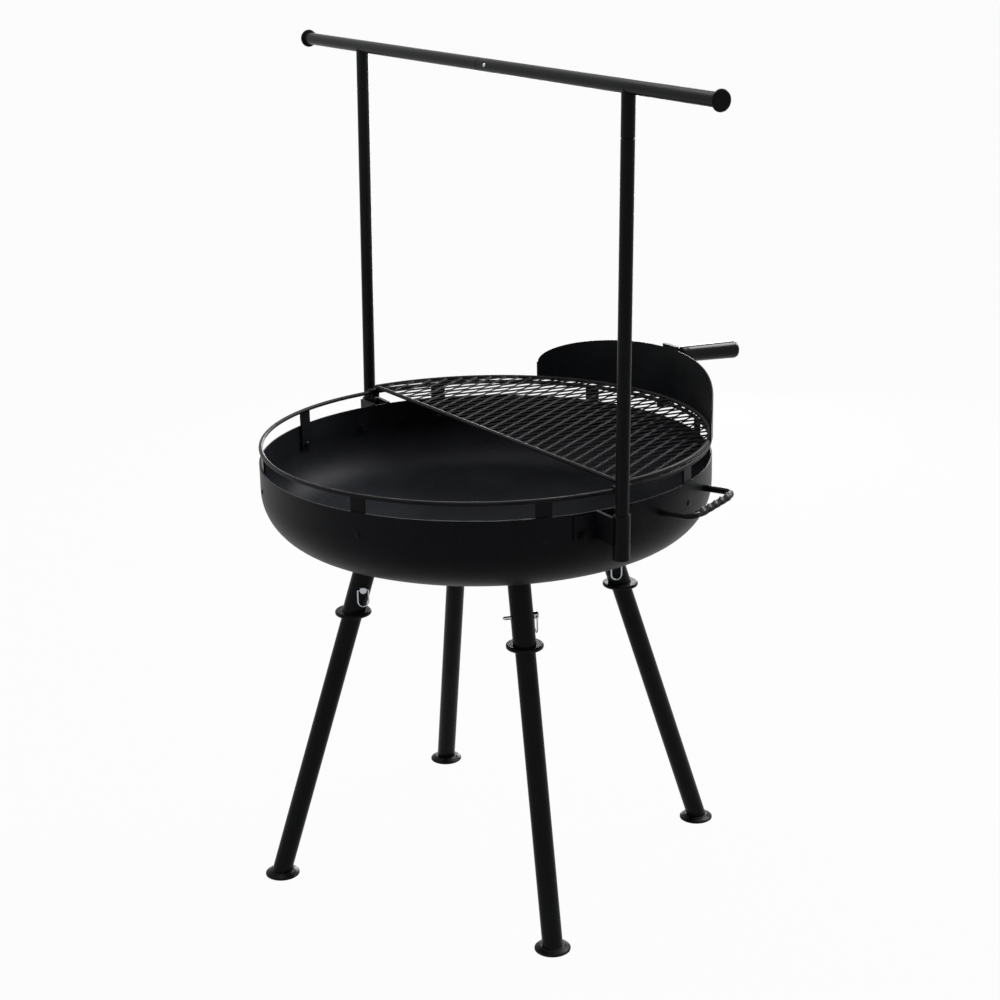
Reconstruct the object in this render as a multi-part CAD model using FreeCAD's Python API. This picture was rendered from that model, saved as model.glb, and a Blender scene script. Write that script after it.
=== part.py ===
import FreeCAD, Part
import math
import os

os.makedirs("parts", exist_ok=True)
V = FreeCAD.Vector
UP = V(0, 0, 1)
EAST = V(1, 0, 0)
NORTH = V(0, 1, 0)
ORIGIN = V(0, 0, 0)

# Driving sizes in mm. X runs along the crossbar, +Y is the grate side and Z = 0 is the floor.
Z_RIM = 736.0
PAN_R = 381.0
PAN_T = 2.5
WALL_H = 45.0
PAN_D = 166.0
CORNER_R = 85.0

# Rail ring and its straps.
ROD = 7.0
RAIL_UP = 26.2
TAB_W = 26.0
TAB_T = 3.0
TAB_COUNT = 8
TAB_DEG = 74.0
RIVET_R = 2.5
RIVET_DOWN = 36.0

# Posts, sleeves and saddle brackets.
POST_OUT = 47.0
POST_R = 10.65
POST_BORE = 8.05
FRAME_LEAN = 1.09
FRAME_BACK = -5.9
LEAN_DOWN = 30.0
SLEEVE_R = 13.4
SLEEVE_BORE = 11.0
SLEEVE_TOP = 3.0
SLEEVE_LEN = 70.0
SLEEVE_FLOOR = 4.0
DRAIN_R = 4.0
SADDLE_T = 3.5
SADDLE_HALF_DEG = 8.2
SADDLE_TOP = 4.0
SADDLE_H = 40.0
WING_T = 6.0
WING_BITE = 1.0
WING_TOP = 2.0
WING_H = 44.0
BOLT_R = 4.0
BOLT_DEG = 6.1
BOLT_DOWN = 36.0

# Crossbar, stubs, caps and button.
BAR_UP = 643.0
BAR_HALF = 650.0
SEAM_DOWN = 73.0
SEAM_EASE = 0.9
STUB_SPIGOT_R = 7.7
STUB_SPIGOT_LEN = 50.0
CAP_R = 15.7
CAP_T = 4.6
CAP_PLUG = 14.0
SPIGOT_R = 8.0
SPIGOT_BORE = 5.75
SPIGOT_HALF = 62.0
BUTTON_X = 30.0
BUTTON_TILT = 6.0
BUTTON_R = 3.1
BUTTON_OUT = 2.8
BUTTON_ROOT = 1.2
LEAF_L = 22.0
LEAF_W = 4.4
LEAF_T = 0.9

# Legs, sockets, collars, feet and lock pins.
LEG_DEG = (74.5, 164.5, 254.5, 344.5)
LEG_R = 16.8
LEG_BORE = 14.2
SOCKET_R = 19.0
SOCKET_BORE = 17.15
FOOT_OUT = 5.0
FOOT_TOP = 9.0
FOOT_R = 29.5
COLLAR_IN = 143.0
COLLAR_DROP = 96.0
COLLAR_T = 7.0
COLLAR_R = 31.0
LEG_GAP = 14.0
PIN_UP = 45.0
PIN_R = 3.2
PIN_CLEAR = 0.3
PIN_TAIL = 10.0
PIN_HEAD_R = 6.0
PIN_HEAD_L = 8.0
PIN_SIDE = (-1, 1, 1, 1)
RING_WIRE = 1.25
RING_HALF = 9.2
RING_BEND = 2.2
RING_DROP = 20.0

# Carry handle.
HANDLE_DEG = 28.0
HANDLE_HALF = 74.3
HANDLE_REACH = 55.0
HANDLE_DOWN = 29.6
HANDLE_ROD = 5.4
HANDLE_BEND = 18.0
TWIST_HALF = 48.0
TWIST_END = 6.0
TWIST_SIDE = 10.2
TWIST_PITCH = 84.0

# Half-moon grate, heat shield and grip.
GRATE_IN = 4.5
GRATE_UP = 9.5
GRATE_TURN = 3.3
CHORD_Y = 5.7
MESH_LONG = 26.26
MESH_SHORT = 13.48
MESH_SKEW = 0.055
MESH_STRAND = 3.2
MESH_T = 4.0
MESH_TOP = 2.5
MESH_START = 11.1
MESH_SHIFT = 6.8
HOOK_HALF = 8.0
HOOK_BACK = 0.8
HOOK_DROP = 8.0
HOOK_WALL = 3.0
HOOK_CLEAR = 0.9
SHIELD_TURN = 1.6
SHIELD_HALF = 293.0
SHIELD_END = 28.6
SHIELD_MID = 90.5
SHIELD_T = 2.0
LUG_W = 38.0
LUG_T = 7.0
LUG_UP = 5.0
LUG_DOWN = 42.0
STEM_R = 4.5
STEM_DOWN = 14.0
GRIP_START = 22.0
GRIP_LEN = 121.0
GRIP_R0 = 13.4
GRIP_R1 = 15.6
GRIP_HOLD = 40.0
GRIP_DROOP = 3.5

POST_X = PAN_R + POST_OUT
RAIL_R = PAN_R - PAN_T - TAB_T / 2
GRATE_R = PAN_R - GRATE_IN
FOOT_RADIUS = PAN_R + FOOT_OUT
COLLAR_RADIUS = PAN_R - COLLAR_IN
Z_WALL = Z_RIM - WALL_H
Z_LOW = Z_RIM - PAN_D
Z_RAIL = Z_RIM + RAIL_UP
Z_GRATE = Z_RAIL + GRATE_UP
Z_BAR = Z_RIM + BAR_UP
Z_SEAM = Z_BAR - SEAM_DOWN
COLLAR_Z = Z_LOW - COLLAR_DROP
LEG_TOP = Z_LOW - LEG_GAP
PIN_Z = COLLAR_Z + PIN_UP
FAR = 2 * PAN_R
DIAG = math.sqrt(0.5)


def turned(shape, deg):
    s = shape.copy()
    s.rotate(ORIGIN, UP, deg)
    return s


def leaned(shape):
    s = shape.copy()
    s.rotate(V(0, 0, Z_RIM - LEAN_DOWN), EAST, -FRAME_LEAN)
    s.translate(NORTH * FRAME_BACK)
    return s


def other_side(shape):
    return shape.mirror(ORIGIN, EAST)


def tube(ro, ri, base, axis, length):
    outer = Part.makeCylinder(ro, length, base, axis)
    return outer.cut(Part.makeCylinder(ri, length, base, axis))


def sector(r0, r1, z0, z1, half_deg):
    s = Part.makeCylinder(r1, z1 - z0, V(0, 0, z0), UP, 2 * half_deg)
    s = s.cut(Part.makeCylinder(r0, z1 - z0, V(0, 0, z0)))
    s.rotate(ORIGIN, UP, -half_deg)
    return s


def arc_deg(width, radius):
    return math.degrees(width / radius)


def box(x0, x1, y0, y1, z0, z1):
    return Part.makeBox(x1 - x0, y1 - y0, z1 - z0, V(x0, y0, z0))


def lathe(points, base=ORIGIN, axis=UP):
    pts = [V(r, 0, z) for r, z in points]
    s = Part.Face(Part.makePolygon(pts + pts[:1])).revolve(ORIGIN, UP, 360)
    s.Placement = FreeCAD.Placement(base, FreeCAD.Rotation(UP, axis))
    return s


def hexagon(flats, length, base, axis):
    r = flats / math.sqrt(3)
    pts = [V(r * math.cos(k * math.pi / 3), r * math.sin(k * math.pi / 3), 0) for k in range(7)]
    s = Part.Face(Part.makePolygon(pts)).extrude(V(0, 0, length))
    s.Placement = FreeCAD.Placement(base, FreeCAD.Rotation(UP, axis))
    return s


def biggest(shape):
    return max(shape.Solids, key=lambda s: s.Volume)


def export(name, shapes):
    solids = []
    for s in shapes if isinstance(shapes, list) else [shapes]:
        solids += s.Solids
    whole = solids[0] if len(solids) == 1 else Part.makeCompound(solids)
    whole.exportStep("parts/" + name + ".step")
    print(name, len(solids), round(whole.Volume / 1000.0, 2), whole.isValid())


# Fire pan: wall, corner arc and bottom arc share tangents; the inside keeps the same centres.
rise = PAN_D - WALL_H
BOTTOM_R = (PAN_R ** 2 - 2 * PAN_R * CORNER_R + rise ** 2) / (2 * rise - 2 * CORNER_R)


def dish_edges(inset):
    cx = PAN_R - CORNER_R
    cz = Z_LOW + BOTTOM_R
    run = math.atan2(cz - Z_WALL, cx)
    rc = CORNER_R - inset
    rb = BOTTOM_R - inset
    top = V(PAN_R - inset, 0, Z_RIM)
    wall = V(PAN_R - inset, 0, Z_WALL)
    bend = V(cx + rc * math.cos(run / 2), 0, Z_WALL - rc * math.sin(run / 2))
    meet = V(cx + rc * math.cos(run), 0, Z_WALL - rc * math.sin(run))
    half = (math.pi / 2 + run) / 2
    mid = V(rb * math.cos(half), 0, cz - rb * math.sin(half))
    low = V(0, 0, cz - rb)
    bends = [Part.Arc(wall, bend, meet).toShape(), Part.Arc(meet, mid, low).toShape()]
    return [Part.makeLine(top, wall)] + bends, top, low


outer_edges, outer_top, outer_low = dish_edges(0)
inner_edges, inner_top, inner_low = dish_edges(PAN_T)
rim_edge = Part.makeLine(inner_top, outer_top)
low_edge = Part.makeLine(outer_low, inner_low)
pan_wire = Part.Wire(Part.__sortEdges__(outer_edges + [low_edge] + inner_edges + [rim_edge]))
pan = Part.Face(pan_wire).revolve(ORIGIN, UP, 360)
axis_top = V(0, 0, Z_RIM)
fill_ends = [Part.makeLine(axis_top, outer_top), Part.makeLine(outer_low, axis_top)]
fill_wire = Part.Wire(Part.__sortEdges__(outer_edges + fill_ends))
pan_fill = Part.Face(fill_wire).revolve(ORIGIN, UP, 360)

# Rail ring on straps. Each strap is curved to the wall and its top is saddled under the rod.
rail = Part.makeTorus(RAIL_R, ROD / 2, V(0, 0, Z_RAIL))
seat_in = PAN_R - PAN_T
tab_in = seat_in - TAB_T
z_rivet = Z_RIM - RIVET_DOWN
rivet_at = V(tab_in, 0, z_rivet)
head_r = 2 * RIVET_R
band_low = V(0, 0, z_rivet - 2 * head_r)
one_tab = sector(tab_in, seat_in, Z_WALL, Z_RAIL, arc_deg(TAB_W / 2, seat_in)).cut(rail)
rivet_hole = Part.makeCylinder(RIVET_R, 8 * head_r, V(tab_in - 4 * head_r, 0, z_rivet), EAST)
one_tab = one_tab.cut(rivet_hole)
rivet_core = Part.makeCylinder(RIVET_R, PAN_R - tab_in, rivet_at, EAST)
rivet_core = rivet_core.fuse(Part.makeCylinder(RIVET_R, RIVET_R, rivet_at - EAST * RIVET_R / 2, EAST))
rivet_end = V(PAN_R - 0.6 * RIVET_R, 0, z_rivet)
rivet_core = rivet_core.fuse(Part.makeCylinder(RIVET_R, RIVET_R, rivet_end, EAST))
dome = [(0, -0.64), (0.6, -0.6), (0.96, -0.32), (1.0, 0.06), (0, 0.06)]
head_in = lathe([(r * head_r, z * head_r) for r, z in dome], rivet_at, EAST)
head_in = head_in.cut(tube(FAR, tab_in, band_low, UP, 4 * head_r))
flat = [(0, -0.06), (0.9, -0.06), (0.88, 0.16), (0.6, 0.3), (0, 0.32)]
head_out = lathe([(r * head_r, z * head_r) for r, z in flat], V(PAN_R, 0, z_rivet), EAST)
head_out = head_out.cut(Part.makeCylinder(PAN_R, 4 * head_r, band_low))
rivet = rivet_core.fuse([head_in, head_out]).removeSplitter()
tab_degs = [TAB_DEG + k * 360.0 / TAB_COUNT for k in range(TAB_COUNT)]
tabs = [turned(one_tab, d) for d in tab_degs]
rivets = [turned(rivet, d) for d in tab_degs]
for d in tab_degs:
    pan = pan.cut(turned(rivet_hole, d))

# Sleeves, saddle brackets and their bolts. The whole hanging frame leans a little towards the grate.
z_sleeve = Z_RIM + SLEEVE_TOP - SLEEVE_LEN
z_bolt = Z_RIM - BOLT_DOWN
z_post = z_sleeve + SLEEVE_FLOOR
sleeve = tube(SLEEVE_R, SLEEVE_BORE, V(POST_X, 0, z_post), UP, SLEEVE_LEN - SLEEVE_FLOOR)
sleeve_end = tube(SLEEVE_R, DRAIN_R, V(POST_X, 0, z_sleeve), UP, SLEEVE_FLOOR)
sleeve = leaned(sleeve.fuse(sleeve_end).removeSplitter())
bracket_deg = arc_deg(FRAME_BACK, PAN_R)
saddle_low = Z_RIM - SADDLE_TOP - SADDLE_H
saddle = sector(PAN_R, PAN_R + SADDLE_T, saddle_low, saddle_low + SADDLE_H, SADDLE_HALF_DEG)
saddle = turned(saddle, bracket_deg)
wing_low = Z_RIM + WING_TOP - WING_H
wing_y = SLEEVE_R - WING_BITE
wing = box(PAN_R - WING_T, POST_X, wing_y, wing_y + WING_T, wing_low, wing_low + WING_H)
wings = wing.fuse(wing.mirror(ORIGIN, NORTH))
wings.translate(NORTH * FRAME_BACK)
wings = wings.cut(Part.makeCylinder(PAN_R, 2 * SLEEVE_LEN, V(0, 0, z_sleeve)))
wings = wings.cut(leaned(Part.makeCylinder(SLEEVE_R, 2 * SLEEVE_LEN, V(POST_X, 0, z_sleeve))))
bracket = saddle.fuse(wings).removeSplitter()
seat_out = PAN_R + SADDLE_T
flats = 3.25 * BOLT_R
bolt_low = V(0, 0, z_bolt - flats)
bolt_hole = Part.makeCylinder(BOLT_R, 4 * flats, V(seat_in - 2 * flats, 0, z_bolt), EAST)
bolt_head = hexagon(flats, 1.4 * BOLT_R, V(seat_in - 1.35 * BOLT_R, 0, z_bolt), EAST)
bolt_head = bolt_head.cut(tube(FAR, seat_in, bolt_low, UP, 2 * flats))
shank_at = V(seat_in - 0.2 * BOLT_R, 0, z_bolt)
shank = Part.makeCylinder(BOLT_R, PAN_T + SADDLE_T + 3 * BOLT_R, shank_at, EAST)
bolt = bolt_head.fuse(shank).removeSplitter()
nut = hexagon(flats, 1.6 * BOLT_R, V(seat_out - 0.05 * BOLT_R, 0, z_bolt), EAST)
nut = nut.cut(Part.makeCylinder(seat_out, 2 * flats, bolt_low)).cut(bolt_hole)
bolt_degs = [bracket_deg - BOLT_DEG, bracket_deg + BOLT_DEG]
bolt_degs += [180 - d for d in bolt_degs]
for d in bolt_degs:
    pan = pan.cut(turned(bolt_hole, d))
for d in bolt_degs[:2]:
    bracket = bracket.cut(turned(bolt_hole, d))

export("fire_pan", pan)
export("rail_ring", rail)
export("rail_tabs", tabs)
export("tab_rivets", rivets)
export("sleeve_r", sleeve)
export("sleeve_l", other_side(sleeve))
export("sleeve_bracket_r", bracket)
export("sleeve_bracket_l", other_side(bracket))
export("bracket_bolts", [turned(bolt, d) for d in bolt_degs])
export("bracket_nuts", [turned(nut, d) for d in bolt_degs])

# Legs, built at angle 0 in the XZ plane and turned into place.
lean = (FOOT_RADIUS - COLLAR_RADIUS) / COLLAR_Z
leg_dir = V(-lean, 0, 1)
leg_dir.normalize()


def leg_point(z):
    return V(FOOT_RADIUS - lean * z, 0, z)


def leg_cyl(radius, z0, z1):
    a = leg_point(z0)
    return Part.makeCylinder(radius, leg_point(z1).distanceToPoint(a), a, leg_dir)


def above(z):
    return box(-PAN_R, FAR, -PAN_R, PAN_R, z, z + FAR)


pin_at = leg_point(PIN_Z)
pin_cut = Part.makeCylinder(PIN_R + PIN_CLEAR, 4 * SOCKET_R, pin_at - NORTH * 2 * SOCKET_R, NORTH)
leg = leg_cyl(LEG_R, -2 * LEG_R, LEG_TOP).cut(leg_cyl(LEG_BORE, -3 * LEG_R, LEG_TOP + LEG_R))
leg = leg.common(above(FOOT_TOP)).cut(pin_cut)
socket_top = Z_LOW + PAN_D / 2
socket = leg_cyl(SOCKET_R, COLLAR_Z - 3 * SOCKET_R, socket_top)
socket = socket.cut(leg_cyl(SOCKET_BORE, COLLAR_Z - 4 * SOCKET_R, socket_top + SOCKET_R))
socket = socket.common(above(COLLAR_Z + COLLAR_T / 2)).cut(pan_fill).cut(pin_cut)
socket = biggest(socket)
collar = Part.makeCylinder(COLLAR_R, COLLAR_T, leg_point(COLLAR_Z) - UP * COLLAR_T / 2)
collar = collar.makeFillet(0.36 * COLLAR_T, [e for e in collar.Edges if len(e.Vertexes) == 1])
collar = collar.cut(leg_cyl(LEG_R, COLLAR_Z - 3 * LEG_R, COLLAR_Z + 3 * LEG_R))
foot_rows = [(0, 0), (0.95, 0), (1.0, 0.13), (1.0, 0.36), (0.95, 0.52), (0.78, 0.78)]
foot_rows += [(0.68, 1.0), (0, 1.0)]
foot = lathe([(r * FOOT_R, z * FOOT_TOP) for r, z in foot_rows], V(leg_point(FOOT_TOP).x, 0, 0))

# Lock pin along Y at angle 0, with an eye in its head for the hanging ring.
eye_y = SOCKET_R + PIN_HEAD_L / 2
tail = SOCKET_R + PIN_TAIL
shank = Part.makeCylinder(PIN_R, SOCKET_R + tail + PIN_HEAD_L / 4, pin_at - NORTH * tail, NORTH)
tip = lathe([(0, -PIN_R), (PIN_R / 2, -PIN_R), (PIN_R, 0), (0, 0)], pin_at - NORTH * tail, NORTH)
head = Part.makeCylinder(PIN_HEAD_R, PIN_HEAD_L, pin_at + NORTH * SOCKET_R, NORTH)
outer_rim = [e for e in head.Edges if len(e.Vertexes) == 1 and e.CenterOfMass.y > eye_y]
head = head.makeFillet(0.23 * PIN_HEAD_R, outer_rim)
eye_from = V(pin_at.x - 2 * PIN_HEAD_R, eye_y, PIN_Z)
eye = Part.makeCylinder(RING_WIRE + PIN_CLEAR, 4 * PIN_HEAD_R, eye_from, EAST)
pin = shank.fuse([tip, head]).removeSplitter().cut(eye)


def rp(u, z):
    return V(pin_at.x + u, eye_y, PIN_Z + z)


w = RING_HALF
b = RING_BEND
c = b * DIAG
ring_edges = [
    Part.makeLine(rp(0, 0), rp(w - b, 0)),
    Part.Arc(rp(w - b, 0), rp(w - b + c, c - b), rp(w, -b)).toShape(),
    Part.makeLine(rp(w, -b), rp(w, -RING_DROP)),
    Part.Arc(rp(w, -RING_DROP), rp(0, -RING_DROP - w), rp(-w, -RING_DROP)).toShape(),
    Part.makeLine(rp(-w, -RING_DROP), rp(-w, -b)),
    Part.Arc(rp(-w, -b), rp(b - w - c, c - b), rp(b - w, 0)).toShape(),
    Part.makeLine(rp(b - w, 0), rp(0, 0)),
]
wire_end = Part.Wire(Part.makeCircle(RING_WIRE, rp(0, 0), EAST))
wire_ring = Part.Wire(ring_edges).makePipeShell([wire_end], True, True)


def flipped(shape, side):
    return shape if side > 0 else shape.mirror(ORIGIN, NORTH)


for i, deg in enumerate(LEG_DEG):
    n = str(i + 1)
    export("leg_tube_" + n, turned(leg, deg))
    export("leg_socket_" + n, turned(socket, deg))
    export("leg_collar_" + n, turned(collar, deg))
    export("leg_foot_" + n, turned(foot, deg))
    export("lock_pin_" + n, turned(flipped(pin, PIN_SIDE[i]), deg))
    export("pin_ring_" + n, turned(flipped(wire_ring, PIN_SIDE[i]), deg))

# Carry handle, built at angle 0: round arms with bends, and a twisted square bar between them.
z_hand = Z_RIM - HANDLE_DOWN
wall_x = math.sqrt(PAN_R ** 2 - HANDLE_HALF ** 2)
bar_x = wall_x + HANDLE_REACH
root_x = wall_x - 3 * HANDLE_ROD
bend_at = V(bar_x - HANDLE_BEND, HANDLE_HALF - HANDLE_BEND, z_hand)
straight = Part.makeCylinder(HANDLE_ROD, bend_at.x - root_x, V(root_x, HANDLE_HALF, z_hand), EAST)
elbow = Part.makeTorus(HANDLE_BEND, HANDLE_ROD, bend_at, UP, -180, 180, 90)
short_y = TWIST_HALF + TWIST_END / 6
short = Part.makeCylinder(HANDLE_ROD, bend_at.y - short_y, V(bar_x, short_y, z_hand), NORTH)
arm = straight.fuse([elbow, short]).removeSplitter().cut(pan_fill)


def square(y):
    h = TWIST_SIDE * DIAG
    turn = 2 * math.pi * y / TWIST_PITCH
    pts = []
    for q in range(5):
        a = turn + q * math.pi / 2
        pts.append(V(bar_x + h * math.cos(a), y, z_hand + h * math.sin(a)))
    return Part.makePolygon(pts)


steps = 40
cuts = [-TWIST_HALF + 2 * TWIST_HALF * s / steps for s in range(steps + 1)]
twist = Part.makeLoft([square(y) for y in cuts], True, False)
end_a = Part.Face(square(TWIST_HALF)).extrude(NORTH * TWIST_END).fuse(arm)
end_b = Part.Face(square(-TWIST_HALF)).extrude(NORTH * -TWIST_END).fuse(arm.mirror(ORIGIN, NORTH))
export("carry_handle", turned(twist.fuse(end_a).fuse(end_b), HANDLE_DEG))

# Hanging frame: uprights, tee stubs, the two bar halves, caps, spigot and button.
seam_r = POST_R - SEAM_EASE
upright = lathe([
    (POST_BORE, z_post), (POST_R, z_post), (POST_R, Z_SEAM - SEAM_EASE), (seam_r, Z_SEAM), (POST_BORE, Z_SEAM),
], V(POST_X, 0, 0))
bar_mid = V(0, 0, Z_BAR)
bar_r = lathe([
    (POST_BORE, 0), (seam_r, 0), (POST_R, SEAM_EASE), (POST_R, BAR_HALF), (POST_BORE, BAR_HALF),
], bar_mid, EAST)
bar_core = Part.makeCylinder(POST_R, 2 * BAR_HALF, bar_mid - EAST * BAR_HALF, EAST)
spigot_low = Z_SEAM - STUB_SPIGOT_LEN
ease = 0.04 * POST_R
tip_r = STUB_SPIGOT_R - 2 * ease
stub = lathe([
    (SPIGOT_BORE, spigot_low), (tip_r, spigot_low), (STUB_SPIGOT_R, spigot_low + 4 * ease),
    (STUB_SPIGOT_R, Z_SEAM), (seam_r, Z_SEAM), (POST_R, Z_SEAM + SEAM_EASE),
    (POST_R, Z_BAR), (SPIGOT_BORE, Z_BAR),
], V(POST_X, 0, 0)).cut(bar_core)
stub = biggest(stub)
round_cap = [(1.0, 0.0), (1.0, 0.34), (0.97, 0.68), (0.9, 0.92), (0.78, 1.0), (0, 1.0)]
cap_rows = [(0, -CAP_PLUG), (POST_BORE, -CAP_PLUG), (POST_BORE, 0), (0.9 * CAP_R, 0), (CAP_R, 0.2 * CAP_T)]
cap_rows += [(r * CAP_R, (0.2 + 0.8 * z) * CAP_T) for r, z in round_cap[1:]]
cap = lathe(cap_rows, V(BAR_HALF, 0, Z_BAR), EAST)
tilt = math.radians(BUTTON_TILT)
out = V(0, -math.cos(tilt), math.sin(tilt))
button_at = V(BUTTON_X, 0, Z_BAR)
button_hole = Part.makeCylinder(BUTTON_R + PIN_CLEAR, 2 * POST_R, button_at, out)
spigot = tube(SPIGOT_R, SPIGOT_BORE, bar_mid - EAST * SPIGOT_HALF, EAST, 2 * SPIGOT_HALF).cut(button_hole)
bar_l = turned(bar_r, 180)
bar_r = bar_r.cut(button_hole)
crown = POST_R + BUTTON_OUT
root = BUTTON_ROOT + LEAF_T / 2
button = lathe([
    (0, root), (BUTTON_R, root), (BUTTON_R, crown - 0.75 * BUTTON_R),
    (0.76 * BUTTON_R, crown - 0.3 * BUTTON_R), (0.46 * BUTTON_R, crown - 0.08 * BUTTON_R), (0, crown),
], button_at, out)
leaf = Part.makeBox(LEAF_L, LEAF_W, LEAF_T, V(-LEAF_L / 2, -LEAF_W / 2, 0))
leaf_turn = FreeCAD.Rotation(EAST, V(0, 0, 0), out, "ZXY")
leaf.Placement = FreeCAD.Placement(button_at + out * BUTTON_ROOT, leaf_turn)
button = button.fuse(leaf).removeSplitter()

export("upright_r", leaned(upright))
export("upright_l", leaned(turned(upright, 180)))
export("tee_stub_r", leaned(stub))
export("tee_stub_l", leaned(turned(stub, 180)))
export("crossbar_r", leaned(bar_r))
export("crossbar_l", leaned(bar_l))
export("end_cap_r", leaned(cap))
export("end_cap_l", leaned(turned(cap, 180)))
export("crossbar_spigot", leaned(spigot))
export("snap_button", leaned(button))

# Half-moon grate: rod frame with expanded mesh welded between its rods.
corner = math.degrees(math.asin(CHORD_Y / GRATE_R))
arc_ring = Part.makeTorus(GRATE_R, ROD / 2, V(0, 0, Z_GRATE))
arc_rod = arc_ring.common(box(-FAR, FAR, CHORD_Y, FAR, Z_GRATE - ROD, Z_GRATE + ROD))
chord_end = math.sqrt(GRATE_R ** 2 - CHORD_Y ** 2)
chord = Part.makeCylinder(ROD / 2, 2 * chord_end, V(-chord_end, CHORD_Y, Z_GRATE), EAST)
frame = arc_rod.fuse(chord).removeSplitter()
shrink = 1 - (MESH_STRAND / 2) * math.hypot(MESH_LONG, MESH_SHORT) / (MESH_LONG * MESH_SHORT)
hole_y = MESH_LONG * shrink
hole_x = MESH_SHORT * shrink


z_mesh = Z_GRATE + MESH_TOP - MESH_T


def diamond(x, y):
    s = MESH_SKEW * hole_y
    rim = [(x - hole_x, y), (x + s, y - hole_y), (x + hole_x, y), (x - s, y + hole_y)]
    pts = [V(px, py, z_mesh) for px, py in rim]
    return Part.makePolygon(pts + pts[:1])


def outside(p):
    return math.hypot(p.x, p.y) > GRATE_R - MESH_STRAND / 3 or p.y < CHORD_Y + MESH_STRAND / 6


west = V(-chord_end, CHORD_Y, z_mesh)
east = V(chord_end, CHORD_Y, z_mesh)
half_moon = Part.Wire([Part.makeLine(west, east), Part.Arc(east, V(0, GRATE_R, z_mesh), west).toShape()])
inner = []
crossing = []
columns = int(GRATE_R / (2 * MESH_SHORT)) + 3
rows = int(GRATE_R / MESH_LONG) + 2
for j in range(-1, rows):
    y = CHORD_Y + MESH_START + j * MESH_LONG
    row_x = MESH_SHIFT + (j % 2) * MESH_SHORT - MESH_SKEW * j * MESH_LONG
    for i in range(-columns, columns + 1):
        wire = diamond(row_x + 2 * i * MESH_SHORT, y)
        beyond = [outside(v.Point) for v in wire.Vertexes]
        if not any(beyond):
            inner.append(wire)
        elif not all(beyond):
            crossing.append(Part.Face(wire).extrude(UP * MESH_T))
mesh = Part.makeFace([half_moon] + inner, "Part::FaceMakerBullseye").extrude(UP * MESH_T)
mesh = biggest(mesh.cut(crossing).cut(frame))

# Heat shield on the outside of the arc rod, with an arched top.
shield_in = GRATE_R + ROD / 2
shield_out = shield_in + SHIELD_T
half_span = SHIELD_HALF / shield_in
arch_span = (SHIELD_HALF - SHIELD_T) / shield_in
band = sector(shield_in, shield_out, Z_GRATE - ROD / 2, Z_GRATE + 2 * SHIELD_MID, math.degrees(half_span))
arch = []
for s in range(0, 33):
    u = math.cos(math.pi * (1 - s / 32.0))
    h = SHIELD_END + (SHIELD_MID - SHIELD_END) * math.sqrt(max(0.0, 1 - u * u))
    arch.append(V(shield_in * math.sin(u * arch_span), 0, Z_GRATE + h))
curve = Part.BSplineCurve()
curve.interpolate(arch)
reach = arch[-1].x + SHIELD_END
low_l = V(-reach, 0, Z_GRATE - ROD)
low_r = V(reach, 0, Z_GRATE - ROD)
side_l = V(-reach, 0, arch[0].z)
side_r = V(reach, 0, arch[-1].z)
outline = Part.Wire([
    Part.makeLine(low_l, side_l), Part.makeLine(side_l, arch[0]), curve.toShape(),
    Part.makeLine(arch[-1], side_r), Part.makeLine(side_r, low_r), Part.makeLine(low_r, low_l),
])
shield = turned(band, 90).common(Part.Face(outline).extrude(NORTH * FAR))
shield = biggest(shield)

# Saddles over the rail, clear of its straps, at both corners and in the middle.
hook_in = RAIL_R - ROD / 2 - HOOK_CLEAR
hook_out = RAIL_R + ROD / 2 + HOOK_CLEAR
hook_half = arc_deg(HOOK_HALF, RAIL_R)
z_hook = Z_GRATE - ROD / 2
hook = sector(hook_in - HOOK_WALL, hook_out + HOOK_WALL, Z_RAIL - HOOK_DROP, z_hook, hook_half)
hook = hook.cut(sector(hook_in, hook_out, Z_RAIL - 2 * HOOK_DROP, Z_RAIL + ROD / 2, 4 * hook_half))
hook_side = corner - HOOK_BACK * hook_half
hooks = [turned(hook, d) for d in (hook_side, 90.0, 180.0 - hook_side)]

# Grip on a stem, held by a lug on the back of the shield.
z_top = Z_GRATE + SHIELD_MID
droop = math.radians(GRIP_DROOP)
grip_dir = V(0, math.cos(droop), -math.sin(droop))
stem_at = V(0, shield_out + LUG_T / 2, z_top - STEM_DOWN)
lug_half = arc_deg(LUG_W / 2, shield_out)
lug = sector(shield_out, shield_out + LUG_T, z_top - LUG_DOWN, z_top + LUG_UP, lug_half)
lug = turned(lug, 90)
stem = biggest(Part.makeCylinder(STEM_R, GRIP_START + GRIP_HOLD, stem_at, grip_dir).cut(lug))
grip_rows = [
    (0, 0), (GRIP_R0 - 1.2, 0), (GRIP_R0, 0.013), (1.06 * GRIP_R0, 0.1), (0.98 * GRIP_R1, 0.88),
    (GRIP_R1, 0.95), (0.94 * GRIP_R1, 0.985), (0.8 * GRIP_R1, 1.0), (0, 1.0),
]
grip = lathe([(r, z * GRIP_LEN) for r, z in grip_rows], stem_at + grip_dir * GRIP_START, grip_dir)
grip = grip.cut(Part.makeCylinder(STEM_R, GRIP_START + GRIP_HOLD, stem_at, grip_dir))

export("grate_frame", turned(frame, GRATE_TURN))
export("grate_mesh", turned(mesh, GRATE_TURN))
export("grate_hooks", [turned(h, GRATE_TURN) for h in hooks])
export("heat_shield", turned(shield, SHIELD_TURN))
export("handle_lug", turned(lug, SHIELD_TURN))
export("handle_stem", turned(stem, SHIELD_TURN))
export("handle_grip", turned(grip, SHIELD_TURN))
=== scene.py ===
import bmesh
import bpy
import math
from mathutils import Matrix, Vector


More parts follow.
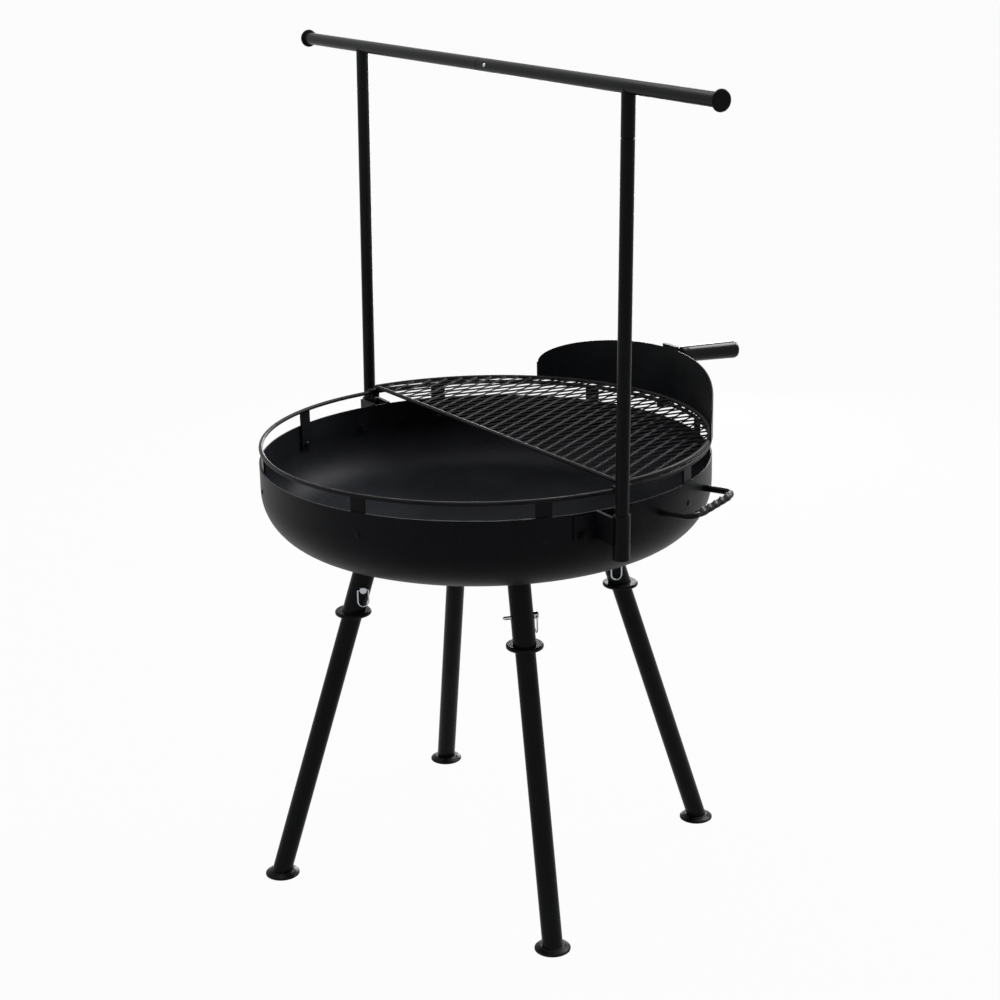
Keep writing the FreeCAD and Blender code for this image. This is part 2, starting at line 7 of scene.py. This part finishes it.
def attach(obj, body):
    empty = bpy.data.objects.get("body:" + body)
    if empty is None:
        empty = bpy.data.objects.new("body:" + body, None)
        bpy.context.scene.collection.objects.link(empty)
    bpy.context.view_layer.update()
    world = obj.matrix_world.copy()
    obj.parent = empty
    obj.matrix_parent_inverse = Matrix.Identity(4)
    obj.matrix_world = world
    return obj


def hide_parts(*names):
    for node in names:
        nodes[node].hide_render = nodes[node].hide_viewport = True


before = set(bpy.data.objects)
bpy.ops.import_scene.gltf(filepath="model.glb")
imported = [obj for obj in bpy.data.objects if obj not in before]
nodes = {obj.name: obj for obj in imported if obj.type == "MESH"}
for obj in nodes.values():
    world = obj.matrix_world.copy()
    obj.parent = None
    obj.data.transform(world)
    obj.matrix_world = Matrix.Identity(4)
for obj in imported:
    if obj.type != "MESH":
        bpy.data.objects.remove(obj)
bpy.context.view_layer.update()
scene = bpy.context.scene

# The camera stands where the photograph was taken from. Metres and degrees, row frame; lens in mm.
CAMERA_AIM = Vector((0.0481, -0.0013, 0.6627))
CAMERA_AWAY = 3.4316
CAMERA_AZIMUTH = 60.375
CAMERA_ELEVATION = 17.492
CAMERA_ROLL = -1.148
CAMERA_LENS = 73.45
CAMERA_SENSOR = 36.0
CAMERA_SIGHT = 200.0

# Studio: how white the floor and the room look to the eye, and how much light the room gives. The floor
# keeps a trace of the light that falls on it, and with it the grill's shadow.
FLOOR_SIZE = 160.0
FLOOR_WHITE = 0.97
ROOM_WHITE = 1.0
ROOM_LIGHT = 0.12

# Expanded metal of the grate: slit sheet pulled open, so each zigzag strand lies tilted between its
# neighbours and meets them at short bonds. Metres and degrees, before the grate's own small turn.
GRATE_LEVEL = 0.7722
GRATE_TURN = 3.3
GRATE_RADIUS = 0.3765
CHORD = 0.0057
ROW_PITCH = 0.02626
STRAND_PITCH = 0.01348
FIRST_ROW = 0.0111
FIRST_COLUMN = 0.0068
SHEAR = 0.055
STRAND_WIDTH = 0.0026
STRAND_THICK = 0.0014
STRAND_TILT = -42.0
BOND = 0.007
TRIM_STEP = 0.02
HAIR = 0.000001


def linear(hex_colour):
    """An sRGB hex value as a linear colour with alpha."""
    parts = [int(hex_colour[i:i + 2], 16) / 255 for i in (1, 3, 5)]
    return [p / 12.92 if p <= 0.04045 else ((p + 0.055) / 1.055) ** 2.4 for p in parts] + [1.0]


def per_metre(millimetres):
    """Texture scale for a pattern that repeats about every so many millimetres."""
    return 1000.0 / millimetres


def add(tree, kind, inputs=None, **settings):
    """One node with its settings, and its inputs as values or links."""
    made = tree.nodes.new("ShaderNode" + kind)
    for name, value in settings.items():
        setattr(made, name, value)
    for socket, value in (inputs or {}).items():
        if isinstance(value, bpy.types.NodeSocket):
            tree.links.new(value, made.inputs[socket])
        else:
            made.inputs[socket].default_value = value
    return made


def blank(name):
    """A material with an empty node tree."""
    material = bpy.data.materials.new(name)
    material.use_nodes = True
    material.node_tree.nodes.clear()
    return material, material.node_tree


# Heat-proof silicone paint, sprayed and baked on mild steel: a deep, nearly matt black. Seen square on
# it is almost without shine, and it turns silky where the eye skims it. Orange peel, drawn coarser than
# life so that it shows, breaks the sheen, and soft clouds of dust lift the black a little here and there.
def baked_coat(name, black, dust, matt, peel_mm, cloud_mm, shine):
    material, tree = blank(name)
    place = add(tree, "TexCoord").outputs["Object"]
    clouds = add(tree, "TexNoise", {
        "Vector": place, "Scale": per_metre(cloud_mm), "Detail": 5.0, "Roughness": 0.62})
    specks = add(tree, "TexNoise", {
        "Vector": place, "Scale": per_metre(peel_mm * 2.4), "Detail": 2.0})
    veil = add(tree, "MapRange", {
        "Value": clouds.outputs["Fac"], "From Min": 0.38, "From Max": 0.78})
    grit = add(tree, "MapRange", {
        "Value": specks.outputs["Fac"], "From Min": 0.56, "From Max": 0.8, "To Max": 0.5})
    lift = add(tree, "Math", {
        0: veil.outputs["Result"], 1: grit.outputs["Result"]}, operation="ADD", use_clamp=True)
    tone = add(tree, "MixRGB", {
        "Fac": lift.outputs[0], "Color1": linear(black), "Color2": linear(dust)})
    rough = add(tree, "MapRange", {
        "Value": clouds.outputs["Fac"], "From Min": 0.3, "From Max": 0.75,
        "To Min": matt - 0.06, "To Max": matt + 0.08})
    peel = add(tree, "TexNoise", {
        "Vector": place, "Scale": per_metre(peel_mm), "Detail": 3.0, "Roughness": 0.55})
    bump = add(tree, "Bump", {"Height": peel.outputs["Fac"], "Strength": 0.22, "Distance": 0.0004})
    coat = add(tree, "BsdfPrincipled", {
        "Base Color": tone.outputs["Color"], "Roughness": rough.outputs["Result"],
        "Normal": bump.outputs["Normal"], "Specular IOR Level": shine})
    add(tree, "OutputMaterial", {"Surface": coat.outputs["BSDF"]})
    return material


# Bright zinc plate on turned pins and bent wire: a cool silver metal with faint drawing lines, drawn
# coarser than life so that they show.
def bright_zinc(name):
    material, tree = blank(name)
    place = add(tree, "TexCoord").outputs["Object"]
    stretch = add(tree, "Mapping", {"Vector": place, "Scale": (1.0, 1.0, 0.2)})
    lines = add(tree, "TexNoise", {
        "Vector": stretch.outputs["Vector"], "Scale": per_metre(1.2), "Detail": 3.0})
    tone = add(tree, "MixRGB", {
        "Fac": lines.outputs["Fac"], "Color1": linear("#8E9297"), "Color2": linear("#C2C5C8")})
    rough = add(tree, "MapRange", {"Value": lines.outputs["Fac"], "To Min": 0.2, "To Max": 0.42})
    bump = add(tree, "Bump", {"Height": lines.outputs["Fac"], "Strength": 0.15, "Distance": 0.0002})
    metal = add(tree, "BsdfPrincipled", {
        "Base Color": tone.outputs["Color"], "Roughness": rough.outputs["Result"],
        "Normal": bump.outputs["Normal"], "Metallic": 1.0})
    add(tree, "OutputMaterial", {"Surface": metal.outputs["BSDF"]})
    return material


# Turned hardwood under thick black lacquer: wet-looking gloss, with a trace of grain along its length.
def lacquered_grip(name):
    material, tree = blank(name)
    place = add(tree, "TexCoord").outputs["Object"]
    along = add(tree, "Mapping", {"Vector": place, "Scale": (1.0, 0.08, 1.0)})
    grain = add(tree, "TexNoise", {
        "Vector": along.outputs["Vector"], "Scale": per_metre(3.0), "Detail": 4.0})
    tone = add(tree, "MixRGB", {
        "Fac": grain.outputs["Fac"], "Color1": linear("#050506"), "Color2": linear("#101114")})
    rough = add(tree, "MapRange", {"Value": grain.outputs["Fac"], "To Min": 0.14, "To Max": 0.26})
    bump = add(tree, "Bump", {"Height": grain.outputs["Fac"], "Strength": 0.12, "Distance": 0.0003})
    gloss = add(tree, "BsdfPrincipled", {
        "Base Color": tone.outputs["Color"], "Roughness": rough.outputs["Result"],
        "Normal": bump.outputs["Normal"], "Specular IOR Level": 0.12})
    add(tree, "OutputMaterial", {"Surface": gloss.outputs["BSDF"]})
    return material


COAT = baked_coat(
    "baked_black_coat", "#17181A", "#252628", matt=0.32, peel_mm=3.2, cloud_mm=140.0, shine=0.06)
PAN_COAT = baked_coat(
    "baked_black_pan", "#141518", "#232428", matt=0.43, peel_mm=4.0, cloud_mm=220.0, shine=0.06)
MESH_COAT = baked_coat(
    "baked_black_mesh", "#202022", "#343436", matt=0.40, peel_mm=2.6, cloud_mm=60.0, shine=0.05)
ZINC = bright_zinc("bright_zinc_plate")
GRIP = lacquered_grip("lacquered_black_grip")


def finish_of(node):
    """The material of a CAD node."""
    if node.startswith(("lock_pin", "pin_ring", "snap_button")):
        return ZINC
    if node == "handle_grip":
        return GRIP
    if node == "fire_pan" or node.startswith(("sleeve_bracket", "bracket_")):
        return PAN_COAT
    if node in ("grate_mesh", "grate_frame", "rail_ring"):
        return MESH_COAT
    return COAT


for name, piece in nodes.items():
    piece.data.materials.clear()
    piece.data.materials.append(finish_of(name))


def strand_path(column, lean):
    """Corner points of one strand from the chord to the arc; lean is the side of its even bonds."""
    tilt = math.radians(STRAND_TILT)
    step = 0.5 * STRAND_WIDTH * math.cos(tilt)
    drop = 0.5 * STRAND_WIDTH * math.sin(tilt)
    points = []
    row = -1
    while True:
        side = lean if row % 2 == 0 else -lean
        away = 0.0 if row % 2 == 0 else lean * STRAND_PITCH
        bond_x = FIRST_COLUMN + STRAND_PITCH * (2 * column + 1) + away
        x = bond_x - SHEAR * row * ROW_PITCH + side * step
        y = CHORD + FIRST_ROW + row * ROW_PITCH
        for end in (-0.5, 0.5):
            here = Vector((x, y + end * BOND, side * drop))
            if here.y < CHORD:
                points = [here]
                continue
            if points and points[0].y < CHORD - HAIR:
                share = (CHORD - points[0].y) / (here.y - points[0].y)
                points = [points[0].lerp(here, share)]
            if points and here.xy.length > GRATE_RADIUS:
                share = 1.0
                while points[-1].lerp(here, share).xy.length > GRATE_RADIUS and share > TRIM_STEP:
                    share -= TRIM_STEP
                return points + [points[-1].lerp(here, share)]
            points.append(here)
        row += 1


def tilted_end(shape, centre):
    """A strand's four-cornered end, tilted across the strand."""
    tilt = math.radians(STRAND_TILT)
    across = Vector((math.cos(tilt), 0.0, math.sin(tilt)))
    through = Vector((-across.z, 0.0, across.x))
    corners = []
    for a, b in ((-0.5, -0.5), (0.5, -0.5), (0.5, 0.5), (-0.5, 0.5)):
        corner = centre + across * a * STRAND_WIDTH + through * b * STRAND_THICK
        corners.append(shape.verts.new(corner))
    return shape.faces.new(corners)


shape = bmesh.new()
columns = int(GRATE_RADIUS / (2 * STRAND_PITCH)) + 2
for column in range(-columns, columns + 1):
    for lean in (-1, 1):
        path = strand_path(column, lean)
        if len(path) < 2 or path[0].xy.length > GRATE_RADIUS:
            continue
        end_face = tilted_end(shape, path[0])
        for here, there in zip(path, path[1:]):
            grown = bmesh.ops.extrude_face_region(shape, geom=[end_face])["geom"]
            corners = [g for g in grown if isinstance(g, bmesh.types.BMVert)]
            faces = [g for g in grown if isinstance(g, bmesh.types.BMFace)]
            end_face = [f for f in faces if set(f.verts) == set(corners)][0]
            bmesh.ops.translate(shape, vec=there - here, verts=corners)
bmesh.ops.recalc_face_normals(shape, faces=shape.faces)
grate_turn = Matrix.Rotation(math.radians(GRATE_TURN), 3, "Z")
bmesh.ops.rotate(shape, verts=shape.verts, cent=(0, 0, 0), matrix=grate_turn)
bmesh.ops.translate(shape, verts=shape.verts, vec=(0, 0, GRATE_LEVEL))
strands_data = bpy.data.meshes.new("grate_strands")
shape.to_mesh(strands_data)
shape.free()
strands_data.materials.append(MESH_COAT)
strands = bpy.data.objects.new("grate_strands", strands_data)
scene.collection.objects.link(strands)
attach(strands, "grate")
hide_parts("grate_mesh")


# The main light stands high behind the grill, with weaker ones overhead and at the left. A low one at the
# far side gives the back its shape.
def lamp(name, place, aim, size, watts):
    data = bpy.data.lights.new(name, "AREA")
    data.shape = "RECTANGLE"
    data.size, data.size_y = size
    data.energy = watts
    made = bpy.data.objects.new(name, data)
    scene.collection.objects.link(made)
    made.location = place
    made.rotation_euler = (Vector(aim) - Vector(place)).to_track_quat("-Z", "Y").to_euler()
    made.visible_camera = False


lamp("overhead_softbox", (-0.3, -0.1, 2.5), aim=(0.0, 0.0, 0.7), size=(1.2, 1.2), watts=18.0)
lamp("left_softbox", (-1.2, -3.0, 2.0), aim=(0.0, 0.0, 0.8), size=(1.2, 1.6), watts=10.0)
lamp("back_softbox", (-0.4, 2.6, 2.7), aim=(0.0, 0.0, 0.7), size=(1.6, 1.4), watts=125.0)
lamp("low_far_softbox", (-2.6, 2.0, 0.85), aim=(0.0, 0.0, 0.7), size=(1.4, 1.2), watts=60.0)


def shown_white(tree, lit, white, share):
    """A shader that the eye, reflections and glass see as mostly white, and that is lit otherwise."""
    path = add(tree, "LightPath").outputs
    seen = add(tree, "Math", {
        0: path["Is Camera Ray"], 1: path["Is Glossy Ray"]}, operation="MAXIMUM")
    seen = add(tree, "Math", {
        0: seen.outputs[0], 1: path["Is Transmission Ray"]}, operation="MAXIMUM")
    part = add(tree, "Math", {0: seen.outputs[0], 1: share}, operation="MULTIPLY")
    return add(tree, "MixShader", {0: part.outputs[0], 1: lit, 2: white}).outputs[0]


floor_data = bpy.data.meshes.new("floor")
half = FLOOR_SIZE / 2
corners = [(-half, -half, 0), (half, -half, 0), (half, half, 0), (-half, half, 0)]
floor_data.from_pydata(corners, [], [(0, 1, 2, 3)])
floor = bpy.data.objects.new("floor", floor_data)
scene.collection.objects.link(floor)
floor_paint, tree = blank("pale_studio_floor")
matt_grey = add(tree, "BsdfDiffuse", {"Color": linear("#8C8C8C")}).outputs[0]
white = add(tree, "Emission", {"Color": linear("#FFFFFF"), "Strength": 1.0}).outputs[0]
add(tree, "OutputMaterial", {"Surface": shown_white(tree, matt_grey, white, FLOOR_WHITE)})
floor_data.materials.append(floor_paint)

world = bpy.data.worlds.new("white_room")
world.use_nodes = True
tree = world.node_tree
tree.nodes.clear()
dim = add(tree, "Background", {"Color": linear("#FFFFFF"), "Strength": ROOM_LIGHT}).outputs[0]
white = add(tree, "Background", {"Color": linear("#FFFFFF"), "Strength": 1.0}).outputs[0]
add(tree, "OutputWorld", {"Surface": shown_white(tree, dim, white, ROOM_WHITE)})
scene.world = world
scene.view_settings.view_transform = "Standard"

# Camera: it looks back along its own Z axis, turned round that axis by the roll.
turn = math.radians(CAMERA_AZIMUTH)
rise = math.radians(CAMERA_ELEVATION)
back = Vector((math.sin(turn) * math.cos(rise), -math.cos(turn) * math.cos(rise), math.sin(rise)))
right = Vector((math.cos(turn), math.sin(turn), 0.0))
level = Matrix((right, back.cross(right), back)).transposed()
tilted = level @ Matrix.Rotation(math.radians(CAMERA_ROLL), 3, "Z")
view_data = bpy.data.cameras.new("photo_view")
view_data.sensor_width = CAMERA_SENSOR
view_data.lens = CAMERA_LENS
view_data.clip_end = CAMERA_SIGHT
view = bpy.data.objects.new("photo_view", view_data)
scene.collection.objects.link(view)
view.matrix_world = Matrix.Translation(CAMERA_AIM + back * CAMERA_AWAY) @ tilted.to_4x4()
scene.camera = view
